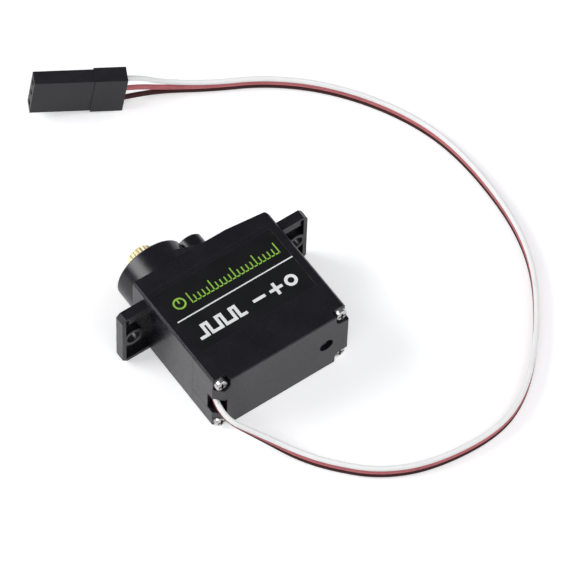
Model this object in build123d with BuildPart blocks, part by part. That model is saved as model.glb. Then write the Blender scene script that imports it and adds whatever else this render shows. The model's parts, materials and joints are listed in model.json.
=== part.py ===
# Micro servo with metal gears, a three-wire lead and its plug.
# Length X (across the ears), output shaft along +Y, standing height Z, all in millimetres.
from build123d import *
from math import cos, hypot, pi, radians, sin, sqrt, tan, acos
import os

os.makedirs("parts", exist_ok=True)

# ---- driving dimensions ----
half_length = 11.5      # half of the case along X
case_height = 12.0
middle_z = 6.0          # every shaft lies at this height
cap_end = -14.05        # far face of the bottom cap
cap_seam = -7.95        # bottom cap meets middle case
gear_seam = 4.55        # middle case meets gear case, and back face of the ears
gear_end = 7.25         # flat face round the bosses
boss_end = 11.35
spline_end = 14.05
boss_radius = 5.6
small_boss_radius, small_boss_x = 2.25, 1.0
small_boss_end = 11.5
web_height = 2.0
edge_bevel = 0.3
seam_bevel = 0.03

output_x = -5.9         # output shaft
pin_x = 0.7             # fixed steel pin
motor_x = 5.6           # motor shaft

ear_tip = 16.2
ear_thickness = 1.6
ear_bottom, ear_top = 0.1, 11.15
ear_hole_x, ear_hole_z = 14.3, 5.6
ear_hole_radius = 1.1

screw_x = 10.4
screw_z = 4.9           # either side of the middle height
post_radius = 1.15
shank_radius = 0.5
screw_seat = -12.86
head_height = 0.88
screw_tip = 5.95
screw_places = [(x, middle_z + z) for x in (-screw_x, screw_x) for z in (-screw_z, screw_z)]

floor_low, floor_high = 0.6, 1.6        # partition between motor room and gear room
roof_inside = 6.35

# four levels of wheels, from the partition upwards (bottom, top)
level_a = (1.85, 2.75)
level_b = (2.95, 3.85)
level_c = (4.05, 4.95)
level_d = (5.15, 6.05)
pin_radius = 0.5
spigot_radius = 1.2
running_fit = 0.04
first_module, first_pinion, first_wheel = 0.2, 9, 40
train_module, train_pinion, train_wheel = 0.3, 14, 30

label_thickness = 0.1
label_x, label_y = (-10.0, 10.0), (-7.85, 3.8)
board_bottom, board_top = -12.0, -11.2


def level(y):
    return Plane.XZ.offset(-y)


def block(x, y, z, mode=Mode.ADD):
    with Locations(((x[0] + x[1]) / 2, (y[0] + y[1]) / 2, (z[0] + z[1]) / 2)):
        Box(x[1] - x[0], y[1] - y[0], z[1] - z[0], mode=mode)


def drum(radius, x, y, z=middle_z, mode=Mode.ADD):
    """A round bar along Y between the two values of y."""
    with BuildSketch(level(y[1])) as disc:
        with Locations((x, z)):
            Circle(radius)
    extrude(disc.sketch, amount=y[1] - y[0], mode=mode)


def boss(radius, x, y, bevel=0.2):
    """A round boss along Y whose far end is bevelled."""
    with BuildSketch(Plane.XY.offset(middle_z)) as half:
        with BuildLine():
            Polyline((x, y[0]), (x + radius, y[0]), (x + radius, y[1] - bevel),
                     (x + radius - bevel, y[1]), (x, y[1]), close=True)
        make_face()
    revolve(half.sketch, axis=Axis((x, 0, middle_z), (0, 1, 0)))


def gear_points(teeth, module, gap_at_zero):
    """Outline of a stubby involute wheel, thinned a little for play between the teeth."""
    pressure = radians(25)
    pitch = teeth * module / 2
    base = pitch * cos(pressure)
    tip = pitch + 0.8 * module
    root = pitch - 1.0 * module
    half_tooth = 0.44 * pi / teeth
    involute = tan(pressure) - pressure

    def flank(radius):
        if radius <= base:
            return half_tooth + involute
        angle = acos(base / radius)
        return half_tooth + involute - (tan(angle) - angle)

    start = max(base, root)
    steps = [start + (tip - start) * share for share in (0, 0.35, 0.7, 1)]
    side = [(radius, flank(radius)) for radius in steps]
    if root < base:
        side.insert(0, (root, flank(base)))
    turn = pi / teeth if gap_at_zero else 0
    outline = []
    for tooth in range(teeth):
        middle = 2 * pi * tooth / teeth + turn
        for radius, angle in side:
            outline.append((radius * cos(middle - angle), radius * sin(middle - angle)))
        for radius, angle in reversed(side):
            outline.append((radius * cos(middle + angle), radius * sin(middle + angle)))
    return outline


def wheel(teeth, module, x, y, gap_at_zero):
    with BuildSketch(level(y[1])) as toothed:
        with Locations((x, middle_z)):
            Polygon(*gear_points(teeth, module, gap_at_zero), align=None)
    extrude(toothed.sketch, amount=y[1] - y[0])


def room(x, y, z, posts):
    """Cut a room out of the case, leaving the round screw posts standing in it."""
    with BuildSketch(level(y[1])) as opening:
        with Locations(((x[0] + x[1]) / 2, (z[0] + z[1]) / 2)):
            Rectangle(x[1] - x[0], z[1] - z[0])
        with Locations(*posts):
            Circle(post_radius, mode=Mode.SUBTRACT)
    extrude(opening.sketch, amount=y[1] - y[0], mode=Mode.SUBTRACT)


# ---- gear case: flat end with the tall boss, the small boss and a low web ----
with BuildPart() as gear_case:
    with BuildSketch(Plane.XY) as side_view:
        with BuildLine():
            Polyline((-half_length, gear_seam), (half_length, gear_seam), (half_length, 6.54),
                     (4.7, gear_end), (-half_length, gear_end), close=True)
        make_face()
    extrude(amount=case_height)
    chamfer(gear_case.edges().filter_by(Axis.Y), length=edge_bevel)
    chamfer(gear_case.edges().filter_by(Axis.Z).group_by(Axis.X)[-1].sort_by(Axis.Y)[-1], length=0.5)
    chamfer(gear_case.faces().sort_by(Axis.Y)[0].edges(), length=seam_bevel)
    boss(boss_radius, output_x, (gear_end - 0.6, boss_end))
    boss(small_boss_radius, small_boss_x, (gear_end - 0.6, small_boss_end))
    # the web fills the space between the two bosses, up to the lines that touch both
    touch = acos((boss_radius - small_boss_radius) / (small_boss_x - output_x))
    reach, rise = boss_radius * cos(touch), boss_radius * sin(touch)
    small_reach, small_rise = small_boss_radius * cos(touch), small_boss_radius * sin(touch)
    with BuildSketch(level(gear_end + web_height)) as web:
        Polygon((output_x + reach, middle_z - rise), (small_boss_x + small_reach, middle_z - small_rise),
                (small_boss_x + small_reach, middle_z + small_rise), (output_x + reach, middle_z + rise),
                align=None)
    extrude(amount=web_height + 0.3)
    room((-11.0, 6.2), (gear_seam, roof_inside), (0.95, 11.05), screw_places)
    drum(3.2, output_x, (roof_inside, boss_end), mode=Mode.SUBTRACT)
    drum(pin_radius, pin_x, (roof_inside, 7.85), mode=Mode.SUBTRACT)
    for x, z in screw_places:
        drum(shank_radius, x, (gear_seam, screw_tip), z, mode=Mode.SUBTRACT)

# ---- middle case: two ears, motor room below and gear room above the partition ----
with BuildPart() as middle_case:
    block((-half_length, half_length), (cap_seam, gear_seam), (0, case_height))
    chamfer(middle_case.edges().filter_by(Axis.Y), length=edge_bevel)
    for side in (-1, 1):
        with BuildSketch(level(gear_seam)) as ear:
            with Locations((side * (half_length + ear_tip - 0.5) / 2, (ear_bottom + ear_top) / 2)):
                Rectangle(ear_tip - half_length + 0.5, ear_top - ear_bottom)
            low_tip, high_tip = ear.vertices().group_by(Axis.X)[-1 if side > 0 else 0].sort_by(Axis.Y)
            chamfer(low_tip, length=0.8)
            chamfer(ear.vertices().group_by(Axis.X)[-1 if side > 0 else 0].sort_by(Axis.Y)[-1], length=0.65)
        extrude(amount=ear_thickness)
        # the hollow in the back: deep round the hole, narrow past the ledge, a hairline on the ledge
        for outer_x, inner_x, bottom, z in ((15.55, half_length, 3.95, (0.75, 9.5)),
                                            (15.55, 15.05, 3.95, (9.4, 10.75)),
                                            (15.05, half_length, 3.03, (9.4, 10.75))):
            near, far = sorted((side * (inner_x + 0.01), side * outer_x))
            block((near, far), (2.9, bottom), z, mode=Mode.SUBTRACT)
        hole = (side * ear_hole_x, ear_hole_z)
        drum(1.7, hole[0], (gear_seam - ear_thickness, gear_seam - 0.2), hole[1])
        drum(ear_hole_radius, hole[0], (2.0, gear_seam), hole[1], mode=Mode.SUBTRACT)
    room((-10.5, 10.5), (cap_seam, floor_low), (1.1, 10.9), screw_places)
    room((-11.0, 8.2), (floor_high, gear_seam), (0.95, 11.05), screw_places)
    drum(spigot_radius + running_fit, output_x, (floor_low, floor_high), mode=Mode.SUBTRACT)
    drum(pin_radius, pin_x, (0.8, floor_high), mode=Mode.SUBTRACT)
    drum(1.5, motor_x, (floor_low, floor_high), mode=Mode.SUBTRACT)
    for x, z in screw_places:
        drum(shank_radius + 0.05, x, (cap_seam, gear_seam), z, mode=Mode.SUBTRACT)
    block(label_x, label_y, (case_height - label_thickness, case_height + 1), mode=Mode.SUBTRACT)

# ---- bottom cap: screw notches, cable slot through one corner ----
with BuildPart() as bottom_cap:
    block((-half_length, half_length), (cap_end, cap_seam), (0, case_height))
    chamfer(bottom_cap.edges().filter_by(Axis.Y), length=edge_bevel)
    chamfer(bottom_cap.faces().sort_by(Axis.Y)[-1].edges(), length=seam_bevel)
    chamfer(bottom_cap.faces().sort_by(Axis.Y)[0].edges(), length=0.15)
    with BuildSketch(Plane.XY.offset(2.25)) as corner_cut:
        with BuildLine():
            Polyline((-half_length - 0.1, cap_end - 0.1), (-half_length + 1.35, cap_end - 0.1),
                     (-half_length - 0.1, cap_end + 1.35), close=True)
        make_face()
    extrude(amount=7.5, mode=Mode.SUBTRACT)
    room((-10.5, 10.5), (-12.95, cap_seam), (1.15, 10.85), screw_places)
    block((-11.0, -10.2), (-12.95, -9.5), (3.6, 7.7), mode=Mode.SUBTRACT)
    for x in (-4.0, 4.0):
        block((x - 0.4, x + 0.4), (-12.95, board_bottom), (1.1, 10.9))
    for x, z in screw_places:
        drum(shank_radius + 0.05, x, (screw_seat, cap_seam), z, mode=Mode.SUBTRACT)
        drum(1.2, x, (cap_end, screw_seat), z, mode=Mode.SUBTRACT)
        out_x, out_z = (12.0 if x > 0 else -12.0), (12.5 if z > middle_z else -0.5)
        block(sorted((x, out_x)), (cap_end, screw_seat), sorted((z - 1.2 if z > middle_z else z + 1.2, out_z)),
              mode=Mode.SUBTRACT)
        block(sorted((x - 1.2 if x > 0 else x + 1.2, out_x)), (cap_end, screw_seat), sorted((z, out_z)),
              mode=Mode.SUBTRACT)
    block((-12.0, -9.75), (cap_end - 1, -11.65), (3.6, 7.3), mode=Mode.SUBTRACT)
    block((-12.0, -half_length + 0.1), (-11.65, cap_seam), (3.45, 3.55), mode=Mode.SUBTRACT)
    # deep round dimple with a stub on its floor
    drum(1.15, 7.6, (cap_end, cap_end + 0.85), mode=Mode.SUBTRACT)
    drum(0.5, 7.6, (cap_end + 0.5, cap_end + 0.85))

# ---- sticker on the upper side, flush in its recess ----
with BuildPart() as label:
    block(label_x, label_y, (case_height - label_thickness, case_height))

# ---- four long screws with cross-recessed pan heads ----
with BuildPart() as case_screws:
    for x, z in screw_places:
        drum(0.92, x, (screw_seat - head_height, screw_seat), z)
    fillet(case_screws.faces().group_by(Axis.Y)[0].edges(), radius=0.22)
    for x, z in screw_places:
        drum(shank_radius, x, (screw_seat, screw_tip), z)
        for wide, tall in ((1.3, 0.32), (0.32, 1.3)):
            block((x - wide / 2, x + wide / 2), (screw_seat - 1, screw_seat - head_height + 0.45),
                  (z - tall / 2, z + tall / 2), mode=Mode.SUBTRACT)

# ---- output wheel, shaft and splined end in one piece ----
with BuildPart() as output_gear:
    wheel(train_wheel, train_module, output_x, level_d, True)
    drum(spigot_radius, output_x, (floor_low + 0.1, level_d[0]))
    drum(2.4, output_x, (level_d[1], boss_end - 0.05))
    spline = []
    for tooth in range(21):
        for share, radius in ((0.0, 1.92), (0.3, 2.1), (0.5, 2.1), (0.8, 1.92)):
            angle = 2 * pi * (tooth + share) / 21
            spline.append((radius * cos(angle), radius * sin(angle)))
    with BuildSketch(level(spline_end)) as splined:
        with Locations((output_x, middle_z)):
            Polygon(*spline, align=None)
    extrude(amount=spline_end - boss_end + 0.05)
    with BuildSketch(Plane.XY.offset(middle_z)) as end_taper:
        with BuildLine():
            Polyline((output_x + 1.8, spline_end), (output_x + 2.6, spline_end),
                     (output_x + 2.6, spline_end - 0.8), close=True)
        make_face()
    revolve(axis=Axis((output_x, 0, middle_z), (0, 1, 0)), mode=Mode.SUBTRACT)
    drum(0.8, output_x, (8.05, spline_end), mode=Mode.SUBTRACT)
    drum(0.7, output_x, (floor_low, 2.7), mode=Mode.SUBTRACT)

with BuildPart() as output_bush:
    drum(3.2, output_x, (roof_inside, boss_end))
    drum(2.4 + running_fit, output_x, (roof_inside, boss_end), mode=Mode.SUBTRACT)

# ---- three double wheels between the motor and the output ----
with BuildPart() as gear_1:
    wheel(first_wheel, first_module, pin_x, level_a, True)
    wheel(train_pinion, train_module, pin_x, (level_a[1], level_b[1]), True)
    drum(pin_radius + running_fit, pin_x, (level_a[0], level_b[1]), mode=Mode.SUBTRACT)

with BuildPart() as gear_2:
    wheel(train_wheel, train_module, output_x, level_b, False)
    wheel(train_pinion, train_module, output_x, (level_b[1], level_c[1]), False)
    drum(spigot_radius + running_fit, output_x, (level_b[0], level_c[1]), mode=Mode.SUBTRACT)

with BuildPart() as gear_3:
    wheel(train_wheel, train_module, pin_x, level_c, True)
    wheel(train_pinion, train_module, pin_x, (level_c[1], level_d[1]), False)
    drum(pin_radius + running_fit, pin_x, (level_c[0], level_d[1]), mode=Mode.SUBTRACT)

with BuildPart() as gear_pin:
    drum(pin_radius, pin_x, (0.8, 7.85))

# ---- motor: can, magnets, end cap, brushes and the turning armature ----
can_back = -9.3
with BuildPart() as motor_can:
    drum(4.8, motor_x, (can_back, floor_low))
    drum(4.3, motor_x, (can_back, 0.0), mode=Mode.SUBTRACT)
    drum(1.5, motor_x, (floor_low, 1.2))
    drum(pin_radius + running_fit, motor_x, (0.0, 1.2), mode=Mode.SUBTRACT)

with BuildPart() as motor_end_cap:
    drum(4.3, motor_x, (can_back, -8.3))
    drum(1.2, motor_x, (-9.9, can_back))
    drum(pin_radius + running_fit, motor_x, (-9.6, -8.3), mode=Mode.SUBTRACT)
    for side in (-1, 1):
        x = motor_x + side * 2.8
        block((x - 0.25, x + 0.25), (can_back, -8.3), (5.6, 6.4), mode=Mode.SUBTRACT)

with BuildPart() as motor_brushes:
    for side in (-1, 1):
        x = motor_x + side * 2.8
        block((x - 0.25, x + 0.25), (board_top, -7.6), (5.6, 6.4))
        block(sorted((motor_x + side * 0.95, x)), (-7.8, -7.6), (5.4, 6.6))
        block(sorted((motor_x + side * 0.95, motor_x + side * 1.15)), (-7.6, -6.9), (5.4, 6.6))

with BuildPart() as motor_magnets:
    with BuildSketch(level(-0.8)) as arcs:
        with Locations((motor_x, middle_z)):
            Circle(4.3)
            Circle(3.3, mode=Mode.SUBTRACT)
            Rectangle(3.0, 9.0, mode=Mode.SUBTRACT)
    extrude(amount=5.8)

with BuildPart() as armature_core:
    with BuildSketch(level(-1.2)) as poles:
        with Locations((motor_x, middle_z)):
            Circle(3.0)
            Circle(2.4, mode=Mode.SUBTRACT)
        with Locations((motor_x, middle_z)):
            with PolarLocations(2.7, 3, 60):
                Rectangle(1.4, 0.5, mode=Mode.SUBTRACT)
            with PolarLocations(1.3, 3):
                Rectangle(2.6, 0.9)
            Circle(1.2)
            Circle(pin_radius, mode=Mode.SUBTRACT)
    extrude(amount=5.0)

with BuildPart() as armature_windings:
    with BuildSketch(level(-0.9)) as coils:
        with Locations((motor_x, middle_z)):
            with PolarLocations(1.85, 3):
                Rectangle(0.9, 2.3)
    extrude(amount=5.6)
    add(armature_core.part, mode=Mode.SUBTRACT)

with BuildPart() as commutator:
    drum(0.9, motor_x, (-7.5, -6.5))
    drum(pin_radius, motor_x, (-7.5, -6.5), mode=Mode.SUBTRACT)

with BuildPart() as motor_shaft:
    drum(pin_radius, motor_x, (-9.5, 2.85))

with BuildPart() as motor_pinion:
    wheel(first_pinion, first_module, motor_x, (1.75, 2.85), True)
    drum(pin_radius, motor_x, (1.75, 2.85), mode=Mode.SUBTRACT)

# ---- position sensor under the output shaft ----
with BuildPart() as sensor_body:
    drum(4.2, output_x, (-4.4, floor_low))
    drum(3.6, output_x, (-4.4, -0.2), mode=Mode.SUBTRACT)
    drum(0.75, output_x, (-0.2, floor_low), mode=Mode.SUBTRACT)

with BuildPart() as sensor_plate:
    drum(3.6, output_x, (-4.4, -3.6))

with BuildPart() as sensor_track:
    with BuildSketch(level(-3.4)) as ring:
        with Locations((output_x, middle_z)):
            Circle(3.2)
            Circle(1.9, mode=Mode.SUBTRACT)
        with Locations((output_x, middle_z - 2.6)):
            Rectangle(1.6, 1.6, mode=Mode.SUBTRACT)
    extrude(amount=0.2)

with BuildPart() as sensor_rotor:
    drum(3.2, output_x, (-2.4, -1.4))
    drum(0.7, output_x, (-2.9, 2.7))

with BuildPart() as sensor_wiper:
    block((output_x - 0.3, output_x + 0.3), (-3.3, -2.4), (middle_z + 2.2, middle_z + 2.9))

with BuildPart() as sensor_pins:
    for x in (-1.8, 0.0, 1.8):
        block((output_x + x - 0.25, output_x + x + 0.25), (board_top, -4.4), (8.45, 8.75))

# ---- circuit board in the cap ----
with BuildPart() as circuit_board:
    with BuildSketch(level(board_top)) as board:
        with Locations((0.3, middle_z)):
            Rectangle(19.4, 9.2)
        with Locations(*screw_places):
            Circle(1.4, mode=Mode.SUBTRACT)
    extrude(amount=board_top - board_bottom)

chip_x = (-4.2, 0.2)
with BuildPart() as control_chip:
    block(chip_x, (board_top + 0.1, -10.2), (4.2, 7.4))

with BuildPart() as chip_pins:
    for step in range(6):
        x = chip_x[0] + 0.35 + 0.74 * step
        for inner, outer in ((4.2, 3.5), (7.4, 8.1)):
            block((x - 0.15, x + 0.15), (board_top, board_top + 0.35), sorted((inner, outer)))

with BuildPart() as capacitors:
    for z in (2.6, 9.0):
        block((4.6, 6.6), (board_top, -10.1), (z - 0.6, z + 0.6))

with BuildPart() as resistors:
    for x in (-7.4, -1.6):
        for z in (1.9, 2.9):
            block((x - 0.6, x + 0.6), (board_top, -10.75), (z - 0.3, z + 0.3))

# ---- three leads: one flat ribbon on edge that opens out at both ends ----
lead_diameter = 0.8
ribbon = (0.4, 1.23, 2.06)              # heights of the black, red and white lead on the floor
slot_heights = (4.75, 5.8, 6.85)
socket_heights = (1.27, 3.81, 6.35)     # in the plug, from its narrow edge
lead_start = -10.3
upright = (0, 0)
slot_lean = (0.386, 0.511)
plug_lean = (-0.116, 0.058)

with BuildPart() as lead_tabs:
    for z in slot_heights:
        block((-9.3, -8.5), (board_top, lead_start), (z - 0.35, z + 0.35))
        block((-10.7, -8.5), (lead_start, lead_start + 0.7), (z - 0.35, z + 0.35))

# route: x and y of the white lead, the heights of the black, red and white lead, and how far
# the lower leads step aside in x and y for each millimetre that they lie below the white one
route = [
    ((-9.9, -10.3), slot_heights, upright),
    ((-12.0, -14.9), (4.3, 5.1, 5.9), slot_lean),
    ((-7.6, -19.8), (1.5, 2.33, 3.15), (0.15, 0.2)),
    ((-4.7, -24.2), (0.44, 1.27, 2.1), upright),
    ((-1.8, -28.4), ribbon, upright),
    ((3.3, -33.6), ribbon, upright),
    ((10.6, -36.8), ribbon, upright),
    ((21.3, -37.6), ribbon, upright),
    ((28.5, -34.6), ribbon, upright),
    ((35.6, -27.7), ribbon, upright),
    ((42.1, -18.4), ribbon, upright),
    ((45.0, -8.5), ribbon, upright),
    ((45.3, 5.2), ribbon, upright),
    ((42.5, 15.1), ribbon, upright),
    ((36.6, 24.6), ribbon, upright),
    ((29.3, 31.3), ribbon, upright),
    ((21.6, 35.3), ribbon, upright),
    ((15.6, 39.1), (0.4, 1.23, 2.6), upright),
    ((12.0, 40.3), (0.9, 3.0, 5.4), plug_lean),
    ((9.08, 41.0), (1.39, 3.91, 6.43), plug_lean),
]


def corner_radii(points):
    radii = []
    for before, here, after in zip(points, points[1:], points[2:]):
        first = Vector(*here) - Vector(*before)
        second = Vector(*after) - Vector(*here)
        half_turn = radians(first.get_angle(second)) / 2
        radii.append(0.45 * min(first.length, second.length) / tan(half_turn))
    return radii


def lead(which):
    points = []
    for (x, y), heights, lean in route:
        below = heights[2] - heights[which]
        points.append((x + lean[0] * below, y + lean[1] * below, heights[which]))
    radii = corner_radii(points)
    with BuildLine() as centre:
        FilletPolyline(*points, radius=radii)
    with BuildSketch(Plane(origin=points[0], z_dir=Vector(*points[1]) - Vector(*points[0]))) as section:
        Circle(lead_diameter / 2)
    sweep(section.sketch, path=centre.wires()[0])
    length = centre.wires()[0].length
    print("lead", which, "length", round(length, 2), "radii", [round(radius, 1) for radius in radii])
    return length


with BuildPart() as black_lead:
    black_length = lead(0)

with BuildPart() as red_lead:
    red_length = lead(1)

with BuildPart() as white_lead:
    white_length = lead(2)

lead_section = pi * lead_diameter ** 2 / 4
for name, piece, length in (("black", black_lead, black_length), ("red", red_lead, red_length),
                            ("white", white_lead, white_length)):
    print(name, "volume", round(piece.part.volume, 3), "section x length", round(lead_section * length, 3))

# ---- plug standing on its narrow edge, nose a little raised, with a wider rear part ----
plug_turn, plug_rise = radians(-26.4), radians(7.4)
plug_place = Plane(
    origin=(3.02, 44.01, 0.903),
    x_dir=(cos(plug_turn) * cos(plug_rise), sin(plug_turn) * cos(plug_rise), -sin(plug_rise)),
    z_dir=(cos(plug_turn) * sin(plug_rise), sin(plug_turn) * sin(plug_rise), cos(plug_rise)))

with BuildPart(plug_place) as plug_housing:
    block((2.1, 7.0), (-1.3, 1.3), (0, 7.6))
    block((-7.0, 2.1), (-1.15, 1.15), (0.15, 7.45))
    for z in socket_heights:
        block((-6.2, 7.0), (-0.8, 0.8), (z - 0.8, z + 0.8), mode=Mode.SUBTRACT)
        block((-7.0, -6.2), (-0.5, 0.5), (z - 0.5, z + 0.5), mode=Mode.SUBTRACT)

with BuildPart(plug_place) as plug_contacts:
    for z in socket_heights:
        block((-6.1, 1.5), (-0.8, 0.8), (z - 0.8, z + 0.8))
        block((-6.1, 0.5), (-0.4, 0.4), (z - 0.4, z + 0.4), mode=Mode.SUBTRACT)
        block((1.5, 6.0), (-0.5, 0.5), (z - 0.5, z + 0.5))

nodes = {
    "gear_case": gear_case, "middle_case": middle_case, "bottom_cap": bottom_cap, "label": label,
    "case_screws": case_screws, "output_gear": output_gear, "output_bush": output_bush,
    "gear_1": gear_1, "gear_2": gear_2, "gear_3": gear_3, "gear_pin": gear_pin,
    "motor_can": motor_can, "motor_end_cap": motor_end_cap, "motor_brushes": motor_brushes,
    "motor_magnets": motor_magnets, "armature_core": armature_core,
    "armature_windings": armature_windings, "commutator": commutator, "motor_shaft": motor_shaft,
    "motor_pinion": motor_pinion, "sensor_body": sensor_body, "sensor_plate": sensor_plate,
    "sensor_track": sensor_track, "sensor_rotor": sensor_rotor, "sensor_wiper": sensor_wiper,
    "sensor_pins": sensor_pins, "circuit_board": circuit_board, "control_chip": control_chip,
    "chip_pins": chip_pins, "capacitors": capacitors, "resistors": resistors,
    "lead_tabs": lead_tabs, "black_lead": black_lead, "red_lead": red_lead,
    "white_lead": white_lead, "plug_housing": plug_housing, "plug_contacts": plug_contacts,
}
for name, piece in nodes.items():
    piece.part.label = name
    export_step(piece.part, f"parts/{name}.step")
print(len(nodes), "parts written")
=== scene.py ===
import json
import math

import bmesh
import bpy
from mathutils import Matrix, Vector


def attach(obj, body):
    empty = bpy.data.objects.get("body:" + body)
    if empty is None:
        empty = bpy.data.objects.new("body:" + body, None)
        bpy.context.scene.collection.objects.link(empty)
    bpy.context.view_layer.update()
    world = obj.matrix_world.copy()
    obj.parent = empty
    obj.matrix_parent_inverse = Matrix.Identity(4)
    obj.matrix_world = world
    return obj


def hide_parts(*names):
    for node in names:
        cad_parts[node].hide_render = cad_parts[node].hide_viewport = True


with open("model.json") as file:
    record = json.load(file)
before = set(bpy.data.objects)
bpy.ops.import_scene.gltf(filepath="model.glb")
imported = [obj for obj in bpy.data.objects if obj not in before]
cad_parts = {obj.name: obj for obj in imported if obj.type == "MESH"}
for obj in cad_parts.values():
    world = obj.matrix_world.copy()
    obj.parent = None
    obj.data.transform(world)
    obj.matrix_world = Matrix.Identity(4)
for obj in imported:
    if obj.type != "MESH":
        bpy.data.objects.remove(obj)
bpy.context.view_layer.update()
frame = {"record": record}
scene = bpy.context.scene
mm = 0.001


# a node's socket that works like a number in an expression
class Value:
    def __init__(self, finish, socket):
        self.finish = finish
        self.socket = socket

    def maths(self, operation, *numbers, clamp=False):
        return self.finish.node("ShaderNodeMath", {"operation": operation, "use_clamp": clamp},
                                dict(enumerate(numbers)))

    def __add__(self, other):
        return self.maths("ADD", self, other)

    def __radd__(self, other):
        return self.maths("ADD", other, self)

    def __sub__(self, other):
        return self.maths("SUBTRACT", self, other)

    def __rsub__(self, other):
        return self.maths("SUBTRACT", other, self)

    def __mul__(self, other):
        return self.maths("MULTIPLY", self, other)

    def __rmul__(self, other):
        return self.maths("MULTIPLY", other, self)

    def size(self):                     # without its sign
        return self.maths("ABSOLUTE", self)

    def root(self):
        return self.maths("SQRT", self)

    def between(self, low, high):       # 0 up to low, 1 from high on
        return self.maths("DIVIDE", self - low, high - low, clamp=True)

    def wave(self):                     # 0 to 1 and back each 2 pi
        return self.maths("SINE", self) * 0.5 + 0.5


class Finish:
    def __init__(self, name):
        self.data = bpy.data.materials.new(name)
        self.data.use_nodes = True
        self.tree = self.data.node_tree
        self.shader = self.tree.nodes["Principled BSDF"]
        self.place = self.node("ShaderNodeTexCoord", output="Object")

    # one node: its settings first, then a value or a link for each socket
    def node(self, kind, settings=None, sockets=None, output=0):
        made = self.tree.nodes.new(kind)
        for name, value in (settings or {}).items():
            setattr(made, name, value)
        self.fill(made, sockets or {})
        return Value(self, made.outputs[output])

    def fill(self, made, sockets):
        for name, value in sockets.items():
            if isinstance(value, Value):
                self.tree.links.new(value.socket, made.inputs[name])
            else:
                made.inputs[name].default_value = value

    # soft noise from 0 to 1 whose marks are about size millimetres across
    def noise(self, size, detail=3.0, rough=0.5, stretch=(1, 1, 1)):
        scale = [part / (size * mm) for part in stretch]
        place = self.node("ShaderNodeVectorMath", {"operation": "MULTIPLY"}, {0: self.place, 1: scale})
        return self.node("ShaderNodeTexNoise", {}, {"Vector": place, "Scale": 1.0, "Detail": detail,
                                                    "Roughness": rough}, "Fac")

    def mix(self, share, first, second):
        first, second = [c if isinstance(c, Value) else (*c, 1) for c in (first, second)]
        return self.node("ShaderNodeMix", {"data_type": "RGBA"}, {0: share, 6: first, 7: second}, 2)

    def bump(self, height, depth, strength, under=None):
        sockets = {"Strength": strength, "Distance": depth * mm, "Height": height}
        if under is not None:
            sockets["Normal"] = under
        return self.node("ShaderNodeBump", {}, sockets)

    # the three parts of the place, in millimetres
    def parts(self):
        return [self.node("ShaderNodeSeparateXYZ", {}, {0: self.place}, axis) * 1000.0
                for axis in range(3)]

    # distance in millimetres from the line along y through x and z
    def fromAxis(self, x, z):
        offset = self.node("ShaderNodeVectorMath", {"operation": "SUBTRACT"},
                           {0: self.place, 1: (x * mm, 0, z * mm)})
        flat = self.node("ShaderNodeVectorMath", {"operation": "MULTIPLY"}, {0: offset, 1: (1, 0, 1)})
        return self.node("ShaderNodeVectorMath", {"operation": "LENGTH"}, {0: flat}, "Value") * 1000.0


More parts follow.
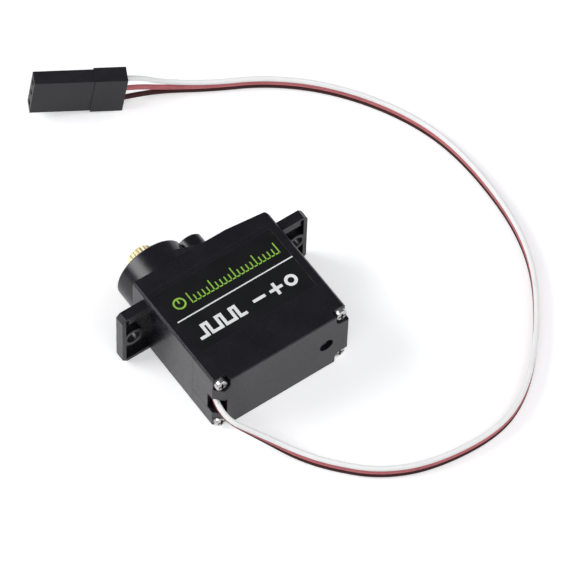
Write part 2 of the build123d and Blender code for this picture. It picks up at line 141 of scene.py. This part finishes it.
# dark and light: ends of the slow colour drift, rough: ends of the roughness, grain and depth:
# size and height of the finest marks, patch: size of the drift, edge: rounding left on an edge,
# turned: x and z of the axis and pitch of the rings, recess: the painted shade in the crosses of
# the screw heads, whose pattern has its middle and each head's offset in x and z, all in millimetres
plain = {"grain": 0.09, "depth": 0.006, "patch": 4.0, "stretch": (1, 1, 1), "metallic": 0.0,
         "specular": 0.5, "specks": 0.0, "turned": None, "recess": None, "edge": 0.0}
finishes = {
    "case_plastic": {"dark": (0.0076, 0.0072, 0.0104), "light": (0.0114, 0.0108, 0.0146),
                     "rough": (0.22, 0.33), "specks": 0.16, "edge": 0.07, "specular": 0.46},
    "label_film": {"dark": (0.0068, 0.0068, 0.0074), "light": (0.0094, 0.0094, 0.0102),
                   "rough": (0.30, 0.42), "grain": 0.06, "depth": 0.003, "patch": 6.0,
                   "specular": 0.34},
    "screw_steel": {"dark": (0.52, 0.51, 0.50), "light": (0.70, 0.69, 0.67), "rough": (0.24, 0.40),
                    "grain": 0.08, "depth": 0.005, "patch": 0.6, "metallic": 1.0,
                    "recess": {"middle": (0.0, 6.0), "offset": (10.4, 4.9), "reach": 0.68, "soft": 0.04,
                               "top": -13.74, "depths": (0.03, 0.2), "shade": 0.93,
                               "colour": (0.02, 0.02, 0.02)}},
    "gear_brass": {"dark": (0.90, 0.77, 0.46), "light": (0.99, 0.91, 0.62), "rough": (0.48, 0.60),
                   "grain": 0.08, "depth": 0.004, "patch": 1.0, "stretch": (1, 6, 1), "metallic": 0.65,
                   "edge": 0.03},
    "bush_brass": {"dark": (0.62, 0.44, 0.20), "light": (0.84, 0.66, 0.36), "rough": (0.2, 0.35),
                   "grain": 0.07, "depth": 0.004, "patch": 1.0, "metallic": 1.0,
                   "turned": (-5.9, 6.0, 0.12)},
    "pin_steel": {"dark": (0.55, 0.55, 0.57), "light": (0.75, 0.75, 0.77), "rough": (0.12, 0.26),
                  "grain": 0.06, "depth": 0.003, "patch": 1.0, "stretch": (1, 6, 1), "metallic": 1.0},
    "can_steel": {"dark": (0.50, 0.50, 0.51), "light": (0.68, 0.68, 0.69), "rough": (0.2, 0.38),
                  "grain": 0.1, "depth": 0.005, "patch": 2.0, "stretch": (1, 0.2, 1), "metallic": 1.0},
    "inner_plastic": {"dark": (0.016, 0.016, 0.017), "light": (0.030, 0.030, 0.031),
                      "rough": (0.40, 0.55)},
    "contact_metal": {"dark": (0.60, 0.48, 0.26), "light": (0.80, 0.68, 0.42), "rough": (0.2, 0.4),
                      "grain": 0.07, "depth": 0.004, "patch": 0.8, "metallic": 1.0},
    "magnet": {"dark": (0.06, 0.06, 0.065), "light": (0.12, 0.12, 0.125), "rough": (0.5, 0.7),
               "grain": 0.06, "depth": 0.008, "patch": 1.2},
    "core_steel": {"dark": (0.26, 0.26, 0.28), "light": (0.44, 0.44, 0.46), "rough": (0.3, 0.5),
                   "grain": 0.35, "depth": 0.02, "patch": 1.0, "stretch": (0.05, 1, 0.05),
                   "metallic": 1.0},
    "winding_wire": {"dark": (0.30, 0.10, 0.04), "light": (0.52, 0.20, 0.08), "rough": (0.2, 0.4),
                     "grain": 0.18, "depth": 0.01, "patch": 0.6, "metallic": 0.6,
                     "turned": (5.6, 6.0, 0.16)},
    "board_plate": {"dark": (0.012, 0.07, 0.03), "light": (0.020, 0.11, 0.05), "rough": (0.3, 0.45),
                    "grain": 0.12, "patch": 1.5},
    "carbon_track": {"dark": (0.010, 0.010, 0.010), "light": (0.030, 0.030, 0.030),
                     "rough": (0.5, 0.7), "grain": 0.05, "depth": 0.005, "patch": 0.8},
    "rotor_plastic": {"dark": (0.52, 0.51, 0.47), "light": (0.62, 0.61, 0.57), "rough": (0.4, 0.55)},
    "chip_plastic": {"dark": (0.014, 0.014, 0.016), "light": (0.028, 0.028, 0.030),
                     "rough": (0.50, 0.65), "grain": 0.05, "patch": 1.0},
    "capacitor_ceramic": {"dark": (0.30, 0.20, 0.12), "light": (0.42, 0.30, 0.19),
                          "rough": (0.35, 0.5), "grain": 0.06, "depth": 0.005, "patch": 1.0},
    "black_wire": {"dark": (0.040, 0.010, 0.010), "light": (0.062, 0.018, 0.018),
                   "rough": (0.46, 0.60), "grain": 0.11, "patch": 3.0, "specular": 0.2},
    "red_wire": {"dark": (0.44, 0.105, 0.112), "light": (0.56, 0.150, 0.160), "rough": (0.42, 0.56),
                 "grain": 0.11, "patch": 3.0},
    "white_wire": {"dark": (0.90, 0.90, 0.89), "light": (0.94, 0.94, 0.93), "rough": (0.42, 0.56),
                   "grain": 0.11, "patch": 3.0},
    "plug_plastic": {"dark": (0.0090, 0.0086, 0.0114), "light": (0.0155, 0.0148, 0.0185),
                     "rough": (0.42, 0.56), "grain": 0.08, "depth": 0.008, "specks": 0.2,
                     "specular": 0.34, "edge": 0.07},
    "print_white": {"dark": (0.74, 0.74, 0.74), "light": (0.86, 0.86, 0.86), "rough": (0.4, 0.55),
                    "grain": 0.06, "depth": 0.002, "patch": 2.0},
    "print_green": {"dark": (0.22, 0.46, 0.045), "light": (0.30, 0.56, 0.08), "rough": (0.4, 0.55),
                    "grain": 0.06, "depth": 0.002, "patch": 2.0},
}

# what every finish shares: the two noises, their shares in the colour drift and the stretch of
# noise that it spans, the dust, and the strength and relative depth of each bump
grainNoise = {"detail": 4.0, "rough": 0.6}
patchNoise = {"detail": 3.0, "rough": 0.55}
drifting = {"broad": 0.7, "fine": 0.3, "span": (0.35, 0.65)}
dust = {"size": 0.22, "detail": 1.0, "rough": 0.3, "span": (0.74, 0.78), "colour": (0.12, 0.12, 0.13)}
relief = {"fine": 0.6, "broad": 0.12, "broadDepth": 4, "rings": 0.5, "ringDepth": 0.25}
bevelSamples = 6


def finishFor(slotName):
    look = {**plain, **finishes[slotName]}
    finish = Finish(slotName)
    fine = finish.noise(look["grain"], **grainNoise, stretch=look["stretch"])
    broad = finish.noise(look["patch"], **patchNoise)
    drift = (broad * drifting["broad"] + fine * drifting["fine"]).between(*drifting["span"])
    colour = finish.mix(drift, look["dark"], look["light"])
    if look["specks"]:
        specks = finish.noise(dust["size"], dust["detail"], dust["rough"]).between(*dust["span"])
        colour = finish.mix(specks * look["specks"], colour, dust["colour"])
    if look["recess"]:                  # the shade in the crosses of the four screw heads
        recess = look["recess"]
        x, y, z = finish.parts()
        aside = (x - recess["middle"][0]).size() - recess["offset"][0]
        along = (z - recess["middle"][1]).size() - recess["offset"][1]
        away = (aside * aside + along * along).root()
        within = 1 - away.between(recess["reach"] - recess["soft"], recess["reach"])
        below = (y - recess["top"]).between(*recess["depths"])
        colour = finish.mix(within * below * recess["shade"], colour, recess["colour"])
    span = look["rough"][1] - look["rough"][0]
    wear = ((fine + broad) * 0.5).between(*drifting["span"])
    rough = wear * span + look["rough"][0]
    normal = None
    if look["edge"]:                    # the small rounding left on a moulded or tumbled edge
        normal = finish.node("ShaderNodeBevel", {"samples": bevelSamples},
                             {"Radius": look["edge"] * mm})
    if look["turned"]:                  # rings of a turned face, or the rows of a winding
        x, z, pitch = look["turned"]
        rings = (finish.fromAxis(x, z) * (2 * math.pi / pitch)).wave()
        normal = finish.bump(rings, pitch * relief["ringDepth"], relief["rings"], normal)
    normal = finish.bump(broad, look["depth"] * relief["broadDepth"], relief["broad"], normal)
    normal = finish.bump(fine, look["depth"], relief["fine"], normal)
    finish.fill(finish.shader, {"Base Color": colour, "Roughness": rough, "Normal": normal,
                                "Metallic": look["metallic"], "Specular IOR Level": look["specular"]})
    return finish.data


looks = {slotName: finishFor(slotName) for slotName in finishes}
slotOf = {part["node"]: part["material_slot"] for part in frame["record"]["subparts"]}
for nodeName, slotName in slotOf.items():
    owner = bpy.data.objects[nodeName]
    owner.data.materials.clear()
    owner.data.materials.append(looks[slotName])
print("finishes", len(looks), "on", len(slotOf), "solids")


# route: x and y of the white lead, the heights of the black, red and white lead, and how far
# the lower leads step aside in x and y for each millimetre that they lie below the white one,
# order and steps: of each curve, roundness: of its section
slotHeights = (4.75, 5.8, 6.85)
ribbon = (0.4, 1.23, 2.06)
upright = (0, 0)
slotLean = (0.386, 0.511)
plugLean = (-0.116, 0.058)
leads = {
    "diameter": 0.8, "order": 3, "steps": 16, "roundness": 6,
    "route": [
        ((-9.9, -10.3), slotHeights, upright),
        ((-12.0, -14.9), (4.3, 5.1, 5.9), slotLean),
        ((-7.6, -19.8), (1.5, 2.33, 3.15), (0.15, 0.2)),
        ((-4.7, -24.2), (0.44, 1.27, 2.1), upright),
        ((-1.8, -28.4), ribbon, upright),
        ((3.3, -33.6), ribbon, upright),
        ((10.6, -36.8), ribbon, upright),
        ((21.3, -37.6), ribbon, upright),
        ((28.5, -34.6), ribbon, upright),
        ((35.6, -27.7), ribbon, upright),
        ((42.1, -18.4), ribbon, upright),
        ((45.0, -8.5), ribbon, upright),
        ((45.3, 5.2), ribbon, upright),
        ((42.5, 15.1), ribbon, upright),
        ((36.6, 24.6), ribbon, upright),
        ((29.3, 31.3), ribbon, upright),
        ((21.6, 35.3), ribbon, upright),
        ((15.6, 39.1), (0.4, 1.23, 2.6), upright),
        ((12.0, 40.3), (0.9, 3.0, 5.4), plugLean),
        ((9.08, 41.0), (1.39, 3.91, 6.43), plugLean),
    ],
    # piece: which height, the solid it stands for, its finish, its length in metres
    "pieces": {
        "blackLead": (0, "black_lead", "black_wire", 0.154),
        "redLead": (1, "red_lead", "red_wire", 0.154),
        "whiteLead": (2, "white_lead", "white_wire", 0.155),
    },
}


def makeLead(name, which, nodeName, slotName, length):
    points = []
    for (x, y), heights, lean in leads["route"]:
        below = heights[2] - heights[which]
        points.append(Vector((x + lean[0] * below, y + lean[1] * below, heights[which])) * mm)
    curve = bpy.data.curves.new(name, "CURVE")
    curve.dimensions = "3D"
    spline = curve.splines.new("NURBS")
    spline.points.add(len(points) - 1)
    for corner, point in zip(spline.points, points):
        corner.co = (*point, 1)
    spline.order_u = leads["order"]
    spline.use_endpoint_u = True
    spline.resolution_u = leads["steps"]
    curve.bevel_depth = leads["diameter"] / 2 * mm
    curve.bevel_resolution = leads["roundness"]
    curve.use_fill_caps = True
    curve.materials.append(looks[slotName])
    piece = bpy.data.objects.new(name, curve)
    scene.collection.objects.link(piece)
    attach(piece, "case")
    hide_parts(nodeName)


for name, facts in leads["pieces"].items():
    makeLead(name, *facts)
print("leads", len(leads["pieces"]))


# ink on the label: a turning scale, a line, a pulse train and the signs of the three leads.
# top: the film's face, which the ink starts below and rises above by its height
ink = {
    "top": 12.0, "below": 0.01, "height": 0.012, "ringParts": 36,
    "dial": {"x": -7.95, "y": 0.57, "outer": 1.0, "inner": 0.72, "hand": 0.24},
    "ticks": {"from": -6.2, "to": 8.9, "count": 21, "tallEvery": 5, "wide": 0.2, "foot": -0.43,
              "short": 1.2, "tall": 2.0},
    "line": {"x": (-10.0, 10.0), "y": (-2.04, -1.84)},
    "signs": {"from": -8.8, "low": -6.31, "high": -3.94, "stroke": 0.5, "pulses": 3, "pitch": 2.4,
              "rise": 1.1, "tail": 0.9, "minus": (0.9, 3.0), "plus": (3.8, 6.0), "inset": 0.1,
              "ringX": 7.5, "ringOuter": 1.0, "ringInner": 0.5},
}


def printed(name, shapes, finishName):
    lowZ = (ink["top"] - ink["below"]) * mm
    highZ = (ink["top"] + ink["height"]) * mm
    mesh = bpy.data.meshes.new(name)
    form = bmesh.new()
    for corners in shapes:
        low = [form.verts.new((x * mm, y * mm, lowZ)) for x, y in corners]
        high = [form.verts.new((x * mm, y * mm, highZ)) for x, y in corners]
        form.faces.new(high)
        form.faces.new(list(reversed(low)))
        for index in range(len(corners)):
            after = (index + 1) % len(corners)
            form.faces.new((low[index], low[after], high[after], high[index]))
    form.to_mesh(mesh)
    form.free()
    mesh.materials.append(looks[finishName])
    piece = bpy.data.objects.new(name, mesh)
    scene.collection.objects.link(piece)
    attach(piece, "case")


def bar(left, right, low, high):
    return [(left, low), (right, low), (right, high), (left, high)]


def ring(x, y, outer, inner):
    turns = [2 * math.pi * index / ink["ringParts"] for index in range(ink["ringParts"] + 1)]
    return [[(x + reach * math.cos(turn), y + reach * math.sin(turn))
             for turn, reach in ((a, inner), (a, outer), (b, outer), (b, inner))]
            for a, b in zip(turns, turns[1:])]


# an upright bar around x
def post(x, wide, low, high):
    return bar(x - wide / 2, x + wide / 2, low, high)


def scaleShapes():
    dial, ticks = ink["dial"], ink["ticks"]
    foot = ticks["foot"]
    shapes = ring(dial["x"], dial["y"], dial["outer"], dial["inner"])
    shapes.append(post(dial["x"], dial["hand"], dial["y"], dial["y"] + dial["inner"]))
    for index in range(ticks["count"]):
        x = ticks["from"] + (ticks["to"] - ticks["from"]) * index / (ticks["count"] - 1)
        tall = ticks["tall"] if index % ticks["tallEvery"] == 0 else ticks["short"]
        shapes.append(post(x, ticks["wide"], foot, foot + tall))
    shapes.append(bar(ticks["from"], ticks["to"], foot, foot + ticks["wide"]))
    return shapes


def signShapes():
    signs = ink["signs"]
    low, high, stroke, pitch = [signs[name] for name in ("low", "high", "stroke", "pitch")]
    middle = (low + high) / 2
    shapes = [bar(*ink["line"]["x"], *ink["line"]["y"])]
    for pulse in range(signs["pulses"]):
        start = signs["from"] + pulse * pitch
        up, end = start + signs["rise"], start + pitch
        shapes.append(bar(start, up, low, low + stroke))
        shapes.append(bar(up, up + stroke, low, high))
        shapes.append(bar(up + stroke, end - stroke, high - stroke, high))
        shapes.append(bar(end - stroke, end, low, high))
    shapes.append(bar(end, end + signs["tail"], low, low + stroke))
    for kind in ("minus", "plus"):
        shapes.append(bar(*signs[kind], middle - stroke / 2, middle + stroke / 2))
    centre = sum(signs["plus"]) / 2
    shapes.append(post(centre, stroke, middle + stroke / 2, high - signs["inset"]))
    shapes.append(post(centre, stroke, low + signs["inset"], middle - stroke / 2))
    return shapes + ring(signs["ringX"], middle, signs["ringOuter"], signs["ringInner"])


prints = {"labelScale": (scaleShapes(), "print_green"), "labelSigns": (signShapes(), "print_white")}
for name, facts in prints.items():
    printed(name, *facts)
print("ink shapes", sum(len(shapes) for shapes, finishName in prints.values()))


# half: half of its width in metres, sunk and patch: how far it lies below the case and the size
# of its colour drift in millimetres, seen and mirrored: how much paler it is to the camera and
# in reflections
paper = {"half": 3.0, "sunk": 0.02, "patch": 4.0, "detail": 4.0, "dark": (0.86, 0.86, 0.875),
         "light": (0.89, 0.89, 0.90), "rough": 0.9, "specular": 0.1, "seen": 0.38, "mirrored": 0.26}


def makeFloor():
    mesh = bpy.data.meshes.new("floor")
    form = bmesh.new()
    bmesh.ops.create_grid(form, x_segments=2, y_segments=2, size=paper["half"])
    form.to_mesh(mesh)
    form.free()
    piece = bpy.data.objects.new("floor", mesh)
    piece.location = (0, 0, -paper["sunk"] * mm)
    scene.collection.objects.link(piece)
    finish = Finish("floorPaper")
    drift = finish.noise(paper["patch"], paper["detail"])
    colour = finish.mix(drift, paper["dark"], paper["light"])
    seen = finish.node("ShaderNodeLightPath", output="Is Camera Ray")
    mirrored = finish.node("ShaderNodeLightPath", output="Is Glossy Ray")
    glow = finish.mix(seen * paper["seen"] + mirrored * paper["mirrored"], (0, 0, 0), (1, 1, 1))
    finish.fill(finish.shader, {"Base Color": colour, "Roughness": paper["rough"],
                                "Specular IOR Level": paper["specular"], "Emission Color": glow,
                                "Emission Strength": 1.0})
    mesh.materials.append(finish.data)


# softboxes: direction, distance and size in metres, power in watts
softboxes = {
    "leftLight": ((-0.75, 0.62, 0.72), 1.2, (0.75, 0.6), 10.0),
    "rightLight": ((0.85, -0.62, 0.80), 1.2, (1.5, 1.1), 7.5),
    "frontLight": ((-0.45, -0.75, 0.95), 1.3, (1.4, 1.0), 6.5),
}
studio = {"colour": (0.86, 0.90, 1.0), "strength": 0.13}


def makeSoftbox(name, direction, distance, size, power):
    data = bpy.data.lights.new(name, "AREA")
    data.shape = "RECTANGLE"
    data.size, data.size_y = size
    data.energy = power
    light = bpy.data.objects.new(name, data)
    towards = Vector(direction).normalized()
    light.location = towards * distance
    light.rotation_euler = towards.to_track_quat("Z", "Y").to_euler()
    scene.collection.objects.link(light)


makeFloor()
for name, facts in softboxes.items():
    makeSoftbox(name, *facts)
world = bpy.data.worlds.new("studio")
scene.world = world
world.use_nodes = True
background = world.node_tree.nodes["Background"]
background.inputs["Color"].default_value = (*studio["colour"], 1)
background.inputs["Strength"].default_value = studio["strength"]
scene.view_settings.view_transform = "Standard"
print("floor and lights")


# azimuth, elevation and roll in degrees, the rest in millimetres
viewpoint = {"azimuth": -37.11, "elevation": 57.39, "roll": 2.31, "target": (8.56, -2.36, 6.15),
             "distance": 722.78, "nearest": 50.0, "sensor": 36.0, "lens": 315.7895}


def makeCamera():
    azimuth, elevation, roll = [math.radians(viewpoint[turn]) for turn in ("azimuth", "elevation", "roll")]
    back = Vector((math.sin(azimuth) * math.cos(elevation), -math.cos(azimuth) * math.cos(elevation),
                   math.sin(elevation)))
    right = Vector((math.cos(azimuth), math.sin(azimuth), 0))
    up = back.cross(right)
    tiltedRight = math.cos(roll) * right + math.sin(roll) * up
    tiltedUp = math.cos(roll) * up - math.sin(roll) * right
    turned = Matrix((tiltedRight, tiltedUp, back)).transposed().to_4x4()
    turned.translation = (Vector(viewpoint["target"]) + back * viewpoint["distance"]) * mm
    data = bpy.data.cameras.new("camera")
    data.sensor_width = viewpoint["sensor"]
    data.lens = viewpoint["lens"]
    data.clip_start = viewpoint["nearest"] * mm
    camera = bpy.data.objects.new("camera", data)
    camera.matrix_world = turned
    scene.collection.objects.link(camera)
    scene.camera = camera


makeCamera()
print("camera")
